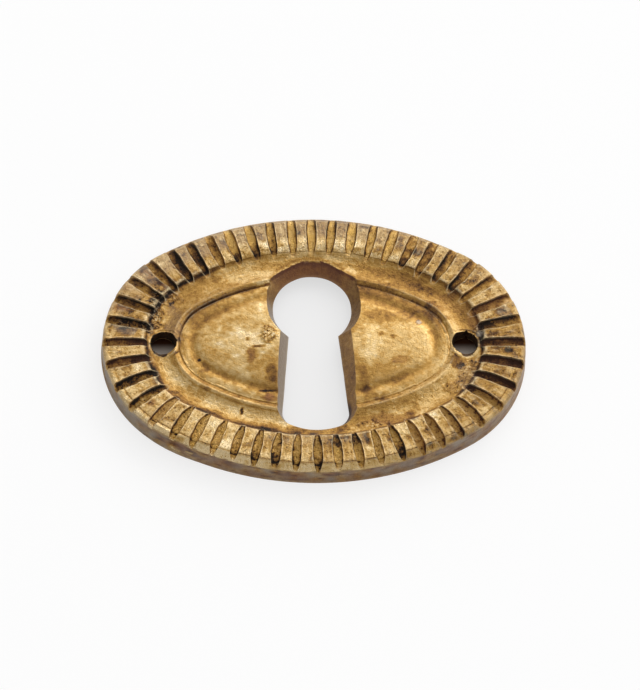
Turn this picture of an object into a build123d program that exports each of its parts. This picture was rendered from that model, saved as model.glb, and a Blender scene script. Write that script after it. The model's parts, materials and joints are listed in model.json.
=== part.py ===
"""Oval keyhole escutcheon: a cast brass plate with a fluted border and a domed middle.

The plate lies on its back with the nail line along X and the round head of the keyhole towards +Y.
The origin is the middle of the back, on the surface that the plate is nailed to.
"""
import os
from math import atan2, cos, degrees, radians, sin, tan

from build123d import *

# Oval outline: four tangent arcs
HALF_LENGTH = 21.0
HALF_WIDTH = 14.65
END_RADIUS = 12.2

# Outer wall and the bevel above it
WALL_HEIGHT = 2.05
BEVEL = 0.7

# Flat land that carries the flutes
LAND_WIDTH = 3.2

# Step down from the land to the cove
STEP_WIDTH = 0.5
STEP_HEIGHT = 0.46

# Cove, bead and quirk between the land and the dome
COVE_WIDTH = 2.2
COVE_DEPTH = 0.2
COVE_RISE = 0.06
BEAD_WIDTH = 0.6
BEAD_RISE = 0.12
BEAD_SLOPE = 0.18
QUIRK_DEPTH = 0.32
QUIRK_SLOPE = 0.16

# Domed middle: its upright foot and the crown above that
DOME_FOOT = 0.28
DOME_FOOT_DRAFT = 25.0
DOME_CROWN = 0.66

# Hollow back with a rim all round
BACK_DEPTH = 1.1
RIM_WIDTH = 1.6

# Flutes: round gouge cuts across the land, with their pitch measured along its inner side
FLUTE_PITCH = 1.85
FLUTE_RADIUS = 0.56
FLUTE_AXIS_RISE = 0.2

# Keyhole, measured at the back of the plate, with walls that open towards the face
KEY_HEAD_RADIUS = 3.95
KEY_HEAD_LIP = 6.05
KEY_NECK_WIDTH = 5.2
KEY_END_WIDTH = 6.9
KEY_END_LIP = 5.3
KEY_END_BULGE = 0.35
KEY_CORNER = 0.9
KEY_DRAFT = 30.0

# Nail holes on the long axis
NAIL_RADIUS = 1.3
NAIL_INSET = 6.1

# Arc centres and angles of the oval
end_centre = HALF_LENGTH - END_RADIUS
side_radius = (end_centre**2 + HALF_WIDTH**2 - END_RADIUS**2) / (2 * (HALF_WIDTH - END_RADIUS))
side_centre = side_radius - HALF_WIDTH
side_half_angle = degrees(atan2(end_centre, side_centre))
end_half_angle = 90 - side_half_angle
oval_arcs = [
    ((end_centre, 0), END_RADIUS, 0, end_half_angle),
    ((0, -side_centre), side_radius, 90, side_half_angle),
    ((-end_centre, 0), END_RADIUS, 180, end_half_angle),
    ((0, side_centre), side_radius, 270, side_half_angle),
]

# Distances inwards from the edge, and heights, along the section
land_height = WALL_HEIGHT + BEVEL
land_inner_inset = BEVEL + LAND_WIDTH
cove_outer_inset = land_inner_inset + STEP_WIDTH
cove_outer_height = land_height - STEP_HEIGHT
cove_middle_inset = cove_outer_inset + COVE_WIDTH / 2
cove_floor = cove_outer_height - COVE_DEPTH
bead_outer_inset = cove_outer_inset + COVE_WIDTH
bead_height = cove_outer_height + COVE_RISE
bead_inner_inset = bead_outer_inset + BEAD_WIDTH
dome_inset = bead_inner_inset + QUIRK_SLOPE
quirk_floor = bead_height - QUIRK_DEPTH
crown_foot = quirk_floor + DOME_FOOT
dome_top = crown_foot + DOME_CROWN
dome_half_length = HALF_LENGTH - dome_inset
dome_half_width = HALF_WIDTH - dome_inset
barrel_radius = (dome_half_length**2 + DOME_CROWN**2) / (2 * DOME_CROWN)

with BuildPart() as flute_tool:
    # A round bar along X, long enough to reach from the outer wall to the middle of the cove
    Cylinder(FLUTE_RADIUS, cove_middle_inset, rotation=(0, 90, 0))

with BuildSketch() as middle_oval:
    # The oval inside the quirk
    with BuildLine():
        for centre, radius, direction, half_angle in oval_arcs:
            CenterArc(centre, radius - dome_inset, direction - half_angle, 2 * half_angle)
    make_face()

with BuildPart() as dome:
    # The middle of the plate, upright to the quirk and drawn in above it
    with BuildSketch(Plane.XY.offset(BACK_DEPTH)):
        add(middle_oval.sketch)
    extrude(amount=quirk_floor - BACK_DEPTH)
    with BuildSketch(Plane.XY.offset(quirk_floor)):
        add(middle_oval.sketch)
    extrude(amount=dome_top - quirk_floor, taper=DOME_FOOT_DRAFT)
    # Its top is barrel-shaped: one arc across the plate, turned about a far axis below it
    with BuildSketch(Plane.YZ):
        with BuildLine():
            ThreePointArc((-dome_half_width, crown_foot), (0, dome_top), (dome_half_width, crown_foot))
            Polyline(
                (dome_half_width, crown_foot),
                (dome_half_width, 0),
                (-dome_half_width, 0),
                (-dome_half_width, crown_foot),
            )
        make_face()
    barrel_axis = Axis((0, 0, dome_top - barrel_radius), (0, 1, 0))
    revolve(axis=barrel_axis, revolution_arc=360, mode=Mode.INTERSECT)

with BuildPart() as escutcheon:
    # The moulded border is one section turned about the centre of each arc of the oval
    for (centre_x, centre_y), radius, direction, half_angle in oval_arcs:
        start = radians(direction - half_angle)
        section_plane = Plane(
            origin=(centre_x, centre_y, 0),
            x_dir=(cos(start), sin(start), 0),
            z_dir=(sin(start), -cos(start), 0),
        )
        with BuildSketch(section_plane):
            with BuildLine():
                Polyline(
                    (radius - RIM_WIDTH, 0),
                    (radius, 0),
                    (radius, WALL_HEIGHT),
                    (radius - BEVEL, land_height),
                    (radius - land_inner_inset, land_height),
                    (radius - cove_outer_inset, cove_outer_height),
                )
                ThreePointArc(
                    (radius - cove_outer_inset, cove_outer_height),
                    (radius - cove_middle_inset, cove_floor),
                    (radius - bead_outer_inset, bead_height),
                )
                Polyline(
                    (radius - bead_outer_inset, bead_height),
                    (radius - bead_outer_inset - BEAD_SLOPE, bead_height + BEAD_RISE),
                    (radius - bead_inner_inset + BEAD_SLOPE, bead_height + BEAD_RISE),
                    (radius - bead_inner_inset, bead_height),
                    (radius - dome_inset, quirk_floor),
                    (radius - dome_inset, BACK_DEPTH),
                    (radius - RIM_WIDTH, BACK_DEPTH),
                    (radius - RIM_WIDTH, 0),
                )
            make_face()
        revolve(axis=Axis((centre_x, centre_y, 0), (0, 0, 1)), revolution_arc=2 * half_angle)

    add(dome.part)

    # Flutes square to the edge, evenly spaced along the inner side of the land, with one on each axis
    end_run = radians(end_half_angle) * (END_RADIUS - land_inner_inset)
    side_run = radians(side_half_angle) * (side_radius - land_inner_inset)
    quarter_run = end_run + side_run
    flute_step = quarter_run / round(quarter_run / FLUTE_PITCH)
    for (centre_x, centre_y), radius, direction, half_angle in oval_arcs:
        step_angle = degrees(flute_step / (radius - land_inner_inset))
        outermost = int(half_angle / step_angle)
        with Locations((centre_x, centre_y, land_height + FLUTE_AXIS_RISE)):
            with PolarLocations(
                radius - cove_middle_inset / 2,
                2 * outermost + 1,
                start_angle=direction - outermost * step_angle,
                angular_range=2 * outermost * step_angle,
                endpoint=True,
            ):
                add(flute_tool.part, mode=Mode.SUBTRACT)

    # Keyhole: a round head and a flared slot with a bowed end
    head_centre = HALF_WIDTH - KEY_HEAD_LIP - KEY_HEAD_RADIUS
    end_line = KEY_END_LIP + KEY_END_BULGE - HALF_WIDTH
    key_depth = dome_top - BACK_DEPTH
    with Locations((0, head_centre, BACK_DEPTH)):
        Cone(
            KEY_HEAD_RADIUS,
            KEY_HEAD_RADIUS + key_depth * tan(radians(KEY_DRAFT)),
            key_depth,
            align=(Align.CENTER, Align.CENTER, Align.MIN),
            mode=Mode.SUBTRACT,
        )
    with BuildSketch(Plane.XY.offset(BACK_DEPTH)) as slot:
        with BuildLine():
            Polyline(
                (-KEY_END_WIDTH / 2, end_line),
                (-KEY_NECK_WIDTH / 2, head_centre),
                (KEY_NECK_WIDTH / 2, head_centre),
                (KEY_END_WIDTH / 2, end_line),
            )
            ThreePointArc(
                (KEY_END_WIDTH / 2, end_line),
                (0, end_line - KEY_END_BULGE),
                (-KEY_END_WIDTH / 2, end_line),
            )
        make_face()
        fillet(slot.vertices().group_by(Axis.Y)[0], KEY_CORNER)
    extrude(amount=key_depth, taper=-KEY_DRAFT, mode=Mode.SUBTRACT)

    # Nail holes
    with Locations((HALF_LENGTH - NAIL_INSET, 0, 0), (NAIL_INSET - HALF_LENGTH, 0, 0)):
        Cylinder(
            NAIL_RADIUS,
            dome_top,
            align=(Align.CENTER, Align.CENTER, Align.MIN),
            mode=Mode.SUBTRACT,
        )

escutcheon.part.label = "escutcheon"

os.makedirs("parts", exist_ok=True)
export_step(escutcheon.part, "parts/escutcheon.step")
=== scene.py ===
import json
from math import atan2, cos, pi, radians, sin

import bmesh
import bpy
import numpy as np
from mathutils import Matrix, Vector, noise


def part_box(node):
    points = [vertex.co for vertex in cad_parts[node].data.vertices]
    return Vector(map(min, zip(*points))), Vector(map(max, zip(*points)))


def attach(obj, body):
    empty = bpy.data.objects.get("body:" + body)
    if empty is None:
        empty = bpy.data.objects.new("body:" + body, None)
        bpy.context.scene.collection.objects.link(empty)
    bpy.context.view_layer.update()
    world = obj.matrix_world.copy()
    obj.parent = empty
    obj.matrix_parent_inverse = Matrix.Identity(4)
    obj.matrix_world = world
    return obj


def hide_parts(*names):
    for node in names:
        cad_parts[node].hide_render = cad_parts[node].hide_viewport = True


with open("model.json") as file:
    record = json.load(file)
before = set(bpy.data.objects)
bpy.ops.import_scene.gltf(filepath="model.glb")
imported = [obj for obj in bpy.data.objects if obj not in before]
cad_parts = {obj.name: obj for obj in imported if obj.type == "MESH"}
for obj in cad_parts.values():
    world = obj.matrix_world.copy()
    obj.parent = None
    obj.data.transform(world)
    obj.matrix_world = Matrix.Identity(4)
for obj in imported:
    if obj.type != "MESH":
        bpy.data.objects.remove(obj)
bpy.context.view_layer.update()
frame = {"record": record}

# The plate's outline and moulded border
# The plate is one oval brass casting, worked here in millimetres and brought to metres at the end.
# Its outline is four arcs that meet without a corner, and one section runs round all of them:
# outer wall, bevel, fluted land, cove, bead and the quirk at the foot of the domed middle.
MILLIMETRE = 0.001
CLEARANCE = 0.001
high_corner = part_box("escutcheon")[1]
half_length = high_corner.x / MILLIMETRE - CLEARANCE
half_width = high_corner.y / MILLIMETRE - CLEARANCE
END_RADIUS = 12.2
end_centre = half_length - END_RADIUS
side_radius = (end_centre**2 + half_width**2 - END_RADIUS**2) / (2 * (half_width - END_RADIUS))
side_centre = side_radius - half_width
end_half_angle = atan2(side_centre, end_centre)
side_half_angle = pi / 2 - end_half_angle

# Heights, and insets from the edge, along the section; a step worn to a slope ends at its own foot
WALL_HEIGHT = 2.05
BEVEL = 0.7
CREASE = 0.77
LAND_EDGE_HEIGHT = 2.71
LAND_HEIGHT = 2.75
LAND_ROLL = 3.1
SHOULDER = 3.75
SHOULDER_HEIGHT = 2.71
COVE_OUTER = 4.3
COVE_OUTER_HEIGHT = 2.29
COVE_FLOOR_DROP = 0.24
BEAD_OUTER = 6.5
BEAD_HEIGHT = 2.35
BEAD_RISE = 0.12
BEAD_INNER = 7.14
QUIRK = 7.34
QUIRK_FLOOR = 2.17
DOME_FOOT = 7.5
DOME_FOOT_HEIGHT = 2.33
SLOPE_FOOT = 4.9
SHRINKAGE = 0.019
BACK_DEPTH = 1.1
RIM_WIDTH = 1.6


def ease(start, end, values):
    """A smooth step from 0 at start to 1 at end."""
    share = np.clip((values - start) / (end - start), 0, 1)
    return share * share * (3 - 2 * share)


def soft_line(values, middle, width):
    """A soft line: 1 where the values reach its middle, fading out over about its width."""
    return np.exp(-((values - middle) / width) ** 2)


def border_height(inset):
    """Height of the border's face at a distance inwards from the edge, before the flutes are cut."""
    cove = (inset - COVE_OUTER) / (BEAD_OUTER - COVE_OUTER)
    cove_line = COVE_OUTER_HEIGHT + (BEAD_HEIGHT - COVE_OUTER_HEIGHT) * cove
    roll = (inset - LAND_ROLL) / (SHOULDER - LAND_ROLL)
    bead = np.clip((inset - BEAD_OUTER) / (BEAD_INNER - BEAD_OUTER), 0, 1)
    return np.select(
        [inset < BEVEL, inset < LAND_ROLL, inset < SHOULDER, inset < COVE_OUTER,
         inset < BEAD_OUTER, inset < BEAD_INNER, inset < QUIRK],
        [WALL_HEIGHT + (LAND_EDGE_HEIGHT - WALL_HEIGHT) * inset / BEVEL,
         LAND_EDGE_HEIGHT + (LAND_HEIGHT - LAND_EDGE_HEIGHT) * ease(BEVEL, 1.6 * BEVEL, inset),
         LAND_HEIGHT + (SHOULDER_HEIGHT - LAND_HEIGHT) * roll**2,
         SHOULDER_HEIGHT + (COVE_OUTER_HEIGHT - SHOULDER_HEIGHT) * ease(SHOULDER, COVE_OUTER, inset),
         cove_line - COVE_FLOOR_DROP * 4 * cove * (1 - cove),
         BEAD_HEIGHT + BEAD_RISE * np.sin(pi * bead) ** 1.5,
         BEAD_HEIGHT + (QUIRK_FLOOR - BEAD_HEIGHT) * (inset - BEAD_INNER) / (QUIRK - BEAD_INNER)],
        QUIRK_FLOOR + (DOME_FOOT_HEIGHT - QUIRK_FLOOR) * (inset - QUIRK) / (DOME_FOOT - QUIRK),
    )


def worn_border(points, inset):
    """Height of the border with its step worn to a soft slope beyond the keyhole."""
    surface = border_height(inset)
    worn = ease(0, 5, points[:, 1]) * (1 - ease(6, 11, np.abs(points[:, 0])))
    slope_drop = (LAND_HEIGHT - border_height(np.array(SLOPE_FOOT))) * ease(LAND_ROLL, SLOPE_FOOT, inset)
    on_slope = (inset > LAND_ROLL) & (inset < SLOPE_FOOT)
    return surface + np.where(on_slope, worn * (LAND_HEIGHT - slope_drop - surface), 0)


def shrunk_share(inset):
    """The share of its length that is left inside the land, where the casting drew in as it cooled."""
    return 1 - SHRINKAGE * ease(2.5, 4.4, inset)


FLUTES_PER_QUARTER = 12
COLUMNS_PER_FLUTE = 14
# The flutes are evenly spaced along a line just inside the shoulder
spacing_line = SHOULDER + 0.2
end_run = end_half_angle * (END_RADIUS - spacing_line)
side_run = side_half_angle * (side_radius - spacing_line)
flute_step = (end_run + side_run) / FLUTES_PER_QUARTER
column_step = flute_step / COLUMNS_PER_FLUTE

# The section is drawn once at the +X end, from the back round the wall to the foot of the dome
wall_heights = np.linspace(0, WALL_HEIGHT, 12)[:-1]
face_insets = np.concatenate([
    np.linspace(0, BEVEL, 6)[:-1],
    np.array([BEVEL, CREASE, 2 * CREASE - BEVEL]),
    np.linspace(BEVEL + 0.25, LAND_ROLL, 9)[:-1],
    np.linspace(LAND_ROLL, SHOULDER, 6)[:-1],
    np.linspace(SHOULDER, COVE_OUTER, 7)[:-1],
    np.linspace(COVE_OUTER, BEAD_OUTER, 12)[:-1],
    np.linspace(BEAD_OUTER, BEAD_INNER, 8)[:-1],
    np.linspace(BEAD_INNER, QUIRK, 3)[:-1],
    np.linspace(QUIRK, DOME_FOOT, 3),
])
section_line = [(RIM_WIDTH, BACK_DEPTH), (RIM_WIDTH, 0)]
section_line += [(0, height) for height in wall_heights]
section_line += list(zip(face_insets, border_height(face_insets)))

# A quarter is the section spun along the end arc and then along the side arc, and it is mirrored twice
plate_mesh = bmesh.new()
section = [plate_mesh.verts.new((half_length - inset, 0, height)) for inset, height in section_line]
last = section + [plate_mesh.edges.new(pair) for pair in zip(section, section[1:])]
end_columns = int(end_run / column_step)
side_columns = int(side_run / column_step)
end_column_angle = column_step / (END_RADIUS - spacing_line)
side_column_angle = column_step / (side_radius - spacing_line)
spins = [
    ((end_centre, 0, 0), end_columns * end_column_angle, end_columns),
    ((end_centre, 0, 0), end_half_angle - end_columns * end_column_angle, 1),
    ((0, -side_centre, 0), side_half_angle - side_columns * side_column_angle, 1),
    ((0, -side_centre, 0), side_columns * side_column_angle, side_columns),
]
for centre, angle, steps in spins:
    last = bmesh.ops.spin(
        plate_mesh, geom=last, cent=centre, axis=(0, 0, 1), angle=angle, steps=steps,
    )["geom_last"]
for axis in ("X", "Y"):
    everything = plate_mesh.verts[:] + plate_mesh.edges[:] + plate_mesh.faces[:]
    bmesh.ops.mirror(plate_mesh, geom=everything, merge_dist=1e-4, axis=axis)

# The dome and the back are drawn in from the border's two open loops, ring by ring, and closed
DOME_RINGS = np.concatenate([np.linspace(1, 0.8, 17), np.linspace(0.8, 0.2, 27)[1:]])
BACK_RINGS = np.linspace(1, 0.12, 12)
BETWEEN_LOOPS = 1.5
open_edges = [edge for edge in plate_mesh.edges if edge.is_boundary]
for is_dome, rings in ((True, DOME_RINGS), (False, BACK_RINGS)):
    loop = [edge for edge in open_edges if (edge.verts[0].co.z > BETWEEN_LOOPS) == is_dome]
    for outer, inner in zip(rings, rings[1:]):
        drawn = bmesh.ops.extrude_edge_only(plate_mesh, edges=loop)["geom"]
        ring = [item for item in drawn if isinstance(item, bmesh.types.BMVert)]
        bmesh.ops.scale(plate_mesh, vec=(inner / outer, inner / outer, 1), verts=ring)
        loop = [item for item in drawn if isinstance(item, bmesh.types.BMEdge) and item.is_boundary]
    bmesh.ops.contextual_create(plate_mesh, geom=loop)
bmesh.ops.recalc_face_normals(plate_mesh, faces=plate_mesh.faces)


def oval_place(points):
    """Where points lie on the oval: arc centre, arc radius, inset from the edge and flute position."""
    x, y = np.abs(points[:, 0]), np.abs(points[:, 1])
    end_angle = np.arctan2(y, x - end_centre)
    on_end = end_angle < end_half_angle
    side_angle = np.arctan2(x, y + side_centre)
    radius = np.where(on_end, END_RADIUS, side_radius)
    centre_x = np.where(on_end, end_centre, 0) * np.sign(points[:, 0])
    centre_y = np.where(on_end, 0, -side_centre) * np.sign(points[:, 1])
    inset = radius - np.hypot(points[:, 0] - centre_x, points[:, 1] - centre_y)
    from_end = end_angle * (END_RADIUS - spacing_line) / flute_step
    from_side = FLUTES_PER_QUARTER - side_angle * (side_radius - spacing_line) / flute_step
    quarter_place = np.where(on_end, from_end, from_side)
    left, lower = points[:, 0] < 0, points[:, 1] < 0
    place = np.where(left, 2 * FLUTES_PER_QUARTER - quarter_place, quarter_place)
    place = np.where(lower, 4 * FLUTES_PER_QUARTER - place, place)
    return centre_x, centre_y, radius, inset, place


# Domed middle
# The middle rises from the quirk on a short steep foot, runs in a narrow strip, dips in a faint valley
# and then swells into a low barrel-shaped dome that the keyhole breaks through.
DOME_TOP = 2.96
DOME_CROWN = 0.64
VALLEY_INSET = 8.75
VALLEY_WIDTH = 0.5
VALLEY_DEPTH = 0.16
dome_length = half_length - DOME_FOOT
dome_width = half_width - DOME_FOOT


def dome_height(points, inset):
    """Height of the domed middle."""
    swell = DOME_CROWN * ((points[:, 0] / dome_length) ** 2 + (points[:, 1] / dome_width) ** 2)
    valley = VALLEY_DEPTH * soft_line(inset, VALLEY_INSET, VALLEY_WIDTH)
    return DOME_TOP - swell - valley


def face_height(points):
    """Height of the whole face before the flutes are cut."""
    inset = oval_place(points)[3]
    return np.where(inset < DOME_FOOT, worn_border(points, inset), dome_height(points, inset))


# Flutes
# Each flute is a gouge cut across the land: steep sides, a flat round bottom, widest towards the edge.
# It runs out in a point on the bevel and opens into the cove, and no two are quite alike.
FLUTE_COUNT = 4 * FLUTES_PER_QUARTER
FLUTE_EDGE_COLUMN = 4 / 7
FIRST_RIDGE_COLUMN = 5 / 7
FLUTE_COLUMNS = (0, 1 / 7, 2 / 7, 3 / 7, FLUTE_EDGE_COLUMN)
FLUTE_COLUMN_PLACES = (0, 0.36, 0.68, 0.9, 1)
RIDGE_COLUMNS = (FLUTE_EDGE_COLUMN, FIRST_RIDGE_COLUMN, 6 / 7, 1)
RIDGE_COLUMN_PLACES = (0, 0.2, 0.58, 1)
LEAST_HALF_MOUTH = 0.12
RIDGE_CROWN = 0.02
FLUTE_SQUARENESS = 2.7
FLUTE_BURR = 0.03
flute_dice = np.random.default_rng(11)
flute_width_share = 1 + 0.05 * flute_dice.standard_normal(FLUTE_COUNT)
flute_depth_share = 1 + 0.08 * flute_dice.standard_normal(FLUTE_COUNT)
flute_shift = 0.03 * flute_dice.standard_normal(FLUTE_COUNT)
flute_skew = 0.02 * flute_dice.standard_normal(FLUTE_COUNT)


def uneven(points, grain, seed):
    """Smooth unevenness between about -1 and 1, with lumps of the given size in millimetres."""
    offset = Vector((seed, 2.3 * seed, 3.7 * seed))
    return np.array([noise.noise(Vector(point) / grain + offset) for point in points])


def flute_half_width(inset, at_end, beyond):
    """Half the width of a flute at the level of the land; broader at the ends, blunter on the far side."""
    width = np.interp(inset, [0.05, 0.5, 1.0, 1.7, 3.0, 4.3], [0.24, 0.38, 0.46, 0.49, 0.45, 0.37])
    width *= 1 + 0.06 * beyond * (1 - at_end)
    inner_share = 1 - (0.4 - 0.28 * beyond) * (1 - at_end) * ease(2.8, 4.1, inset)
    return width * (1 + 0.16 * at_end) * inner_share + 0.14 * beyond * ease(0.9, 0.1, inset)


def flute_depth(inset, deep_end):
    """Depth of a flute's floor below the land."""
    depth = np.interp(inset, [0.05, 1.0, 2.5, 4.3], [0.71, 0.46, 0.38, 0.4])
    return depth + 0.12 * deep_end * ease(3, 4.2, inset)


def cut_flutes(points):
    """Move the columns of the face to the flutes' edges and sink the flutes between them."""
    centre_x, centre_y, radius, inset, place = oval_place(points)
    flute = np.round(place).astype(int) % FLUTE_COUNT
    phase = place - np.round(place)
    share = 2 * np.abs(phase)
    half_pitch = flute_step / 2 * (radius - inset) / (radius - spacing_line)
    at_end = ease(12, 17, np.abs(points[:, 0]))
    on_bevel = np.minimum(inset * (1 + 1.3 * at_end), BEVEL)
    surface = worn_border(points, np.where(inset < BEVEL, on_bevel, inset))
    beyond = np.maximum(at_end, ease(0, 5, points[:, 1]))
    depth = flute_depth(inset, beyond) * flute_depth_share[flute]
    ragged = 1 + 0.1 * uneven(points, 0.8, 21)
    half_cut = flute_half_width(inset, at_end, beyond) * flute_width_share[flute] * ragged
    # Columns inside a flute gather between its two edges, and the rest spread over the ridges
    fallen = np.clip((LAND_HEIGHT - surface) / depth, 0, 0.995)
    mouth_share = (1 - fallen**FLUTE_SQUARENESS) ** (1 / FLUTE_SQUARENESS)
    half_mouth = np.maximum(half_cut * mouth_share, LEAST_HALF_MOUTH)
    inside = half_mouth * np.interp(share, FLUTE_COLUMNS, FLUTE_COLUMN_PLACES)
    ridge = half_mouth + (half_pitch - half_mouth) * np.interp(share, RIDGE_COLUMNS, RIDGE_COLUMN_PLACES)
    in_flute = share < FLUTE_EDGE_COLUMN + 1e-6
    lateral = np.where(in_flute, inside, ridge)
    near_land = ease(-0.2, 0.15, inset) * (1 - ease(4.4, 5.0, inset))
    drift = flute_shift[flute] + flute_skew[flute] * (inset - 2.4)
    lateral = np.sign(phase) * lateral + drift * (1 - ease(FLUTE_EDGE_COLUMN, 1, share))
    moved = near_land * lateral + (1 - near_land) * np.sign(phase) * share * half_pitch
    turn = (moved - phase * 2 * half_pitch) / (radius - inset)
    # Heights: the round cut, the low crown of the ridge and a burr along its edge
    across = np.clip(np.abs(inside) / half_cut, 0, 1)
    cut_floor = LAND_HEIGHT - depth * (1 - across**FLUTE_SQUARENESS) ** (1 / FLUTE_SQUARENESS)
    crown = RIDGE_CROWN * np.clip((share - FLUTE_EDGE_COLUMN) / (1 - FLUTE_EDGE_COLUMN), 0, 1)
    land = ease(0.5, 1.0, inset) * (1 - ease(3.4, 4.2, inset))
    burr = np.clip((FIRST_RIDGE_COLUMN - share) / (FIRST_RIDGE_COLUMN - FLUTE_EDGE_COLUMN), 0, 1) * FLUTE_BURR
    height = np.where(in_flute, np.minimum(surface, cut_floor), surface - (RIDGE_CROWN - crown - burr) * land)
    on_edge = np.abs(share - FLUTE_EDGE_COLUMN) < 1e-3
    height = np.where(on_edge, np.maximum(height, surface + (FLUTE_BURR - RIDGE_CROWN) * land), height)
    spoke_x, spoke_y = points[:, 0] - centre_x, points[:, 1] - centre_y
    result = points.copy()
    result[:, 0] = centre_x + spoke_x * np.cos(turn) - spoke_y * np.sin(turn)
    result[:, 1] = centre_y + spoke_x * np.sin(turn) + spoke_y * np.cos(turn)
    result[:, 2] = height
    return result


# Nail holes
# Two round holes on the long axis, punched from the face, so that a thin burr stands up round each
# and the metal behind is pushed through into a low collar. The mesh is made finer there.
nail_mount = next(mount for mount in frame["record"]["mounts"] if mount["name"] == "nail_holes")
nail_place = nail_mount["dims"]["spacing_x_mm"] / 2
nail_radius = nail_mount["dims"]["hole_r_mm"]
BURR_HEIGHT = 0.1
BURR_WIDTH = 0.13
COLLAR_HEIGHT = 0.4
COLLAR_REACH = 1.6
FINE_REACH = 0.7
FACE_LEVEL = 1.9


def from_hole_middle(vert):
    """Distance of a point of the mesh from the middle of the nearer nail hole."""
    return np.hypot(abs(vert.co.x) - nail_place, vert.co.y)


fine_edges = [
    edge for edge in plate_mesh.edges
    if all(from_hole_middle(vert) < nail_radius + FINE_REACH for vert in edge.verts)
    and edge.verts[0].co.z > FACE_LEVEL
]
bmesh.ops.subdivide_edges(plate_mesh, edges=fine_edges, cuts=1, use_grid_fill=True)
long_back = [
    edge for edge in plate_mesh.edges
    if all(abs(vert.co.z - BACK_DEPTH) < 1e-3 for vert in edge.verts) and edge.calc_length() > 0.5
    and any(from_hole_middle(vert) < nail_radius + COLLAR_REACH for vert in edge.verts)
]
bmesh.ops.subdivide_edges(plate_mesh, edges=long_back, cuts=8, use_grid_fill=True)

# Shaping the casting
# The plain mesh is moved to the form of the plate: flutes, dome, a quirk of uneven depth, a scratched line,
# lips and collars round the nail holes, and the unevenness that the mould and the years left.
plate_data = bpy.data.meshes.new("escutcheon_plate")
plate_mesh.to_mesh(plate_data)
plate_mesh.free()
points = np.empty(3 * len(plate_data.vertices))
plate_data.vertices.foreach_get("co", points)
points = points.reshape(-1, 3)
inset = oval_place(points)[3]
on_face = points[:, 2] > FACE_LEVEL
on_border = on_face & (inset < COVE_OUTER + 1) & (points[:, 2] >= WALL_HEIGHT - 1e-4)
on_dome = on_face & (inset > DOME_FOOT - 1e-4)
points[on_border] = cut_flutes(points[on_border])
points[on_dome, 2] = dome_height(points[on_dome], inset[on_dome])
# The quirk is deep only beyond the left lobe and almost filled along the near side
beyond_left = ease(-1, 4, points[:, 1]) * (points[:, 0] < 0)
quirk_fill = 1 - np.clip(0.5 + 0.1 * ease(-1, 4, points[:, 1]) + 0.5 * beyond_left, 0, 1)
bridge = BEAD_HEIGHT + (DOME_FOOT_HEIGHT - BEAD_HEIGHT) * (inset - BEAD_INNER) / (DOME_FOOT - BEAD_INNER)
in_quirk = on_face & (inset > BEAD_INNER) & (inset < DOME_FOOT)
points[:, 2] += np.where(in_quirk, quirk_fill * np.clip(bridge - points[:, 2], 0, None), 0)
# A scratched line marks the top of the bevel along the near side
crease = 0.035 * soft_line(inset, CREASE, 0.05) * ease(-4, -9, points[:, 1])
points[:, 2] -= np.where(on_face, crease, 0)
points[:, 0] *= np.where(on_face, shrunk_share(inset), 1)

# A burr stands round each nail hole, with a second lip beyond it and a collar behind
from_nail = np.hypot(np.abs(points[:, 0]) - nail_place, points[:, 1])
burr = BURR_HEIGHT * soft_line(from_nail - nail_radius, 0.07, BURR_WIDTH)
burr *= 0.55 + 0.6 * uneven(points, 0.9, 5)
points[:, 2] += np.where(on_face, burr, 0)
double_lip = 0.05 * soft_line(from_nail - nail_radius, 0.45, 0.1) * ease(-0.2, 0.8, points[:, 1])
points[:, 2] += np.where(on_face, double_lip, 0)
on_hollow = np.abs(points[:, 2] - BACK_DEPTH) < 1e-3
collar = COLLAR_HEIGHT * (1 - ease(nail_radius + 0.1, nail_radius + 0.45, from_nail))
points[:, 2] -= np.where(on_hollow, collar, 0)
# Dents and grain
broad, fine, finest = uneven(points, 3.2, 1), uneven(points, 0.8, 2), uneven(points, 0.4, 15)
points[:, 2] += np.where(on_face, 0.03 * broad + 0.018 * fine + 0.012 * finest - 0.04, 0)
wall_dent = 0.05 * (1 - uneven(points, 4, 3)) + 0.03 * (1 - uneven(points * (1, 1, 2.5), 0.8, 4))
on_wall = (inset < 0.05) & (points[:, 2] > 0)
# Flash from the mould was left on the near left of the wall
flash = 0.3 * soft_line(points[:, 0], -13.5, 3.6) * (points[:, 1] < 0) * ease(1.6, 0.4, points[:, 2])
points[:, :2] *= (1 + np.where(on_wall, flash - wall_dent, 0) / half_length)[:, None]
points *= MILLIMETRE
plate_data.vertices.foreach_set("co", points.ravel())
plate = bpy.data.objects.new("escutcheon_plate", plate_data)
bpy.context.scene.collection.objects.link(plate)

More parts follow.
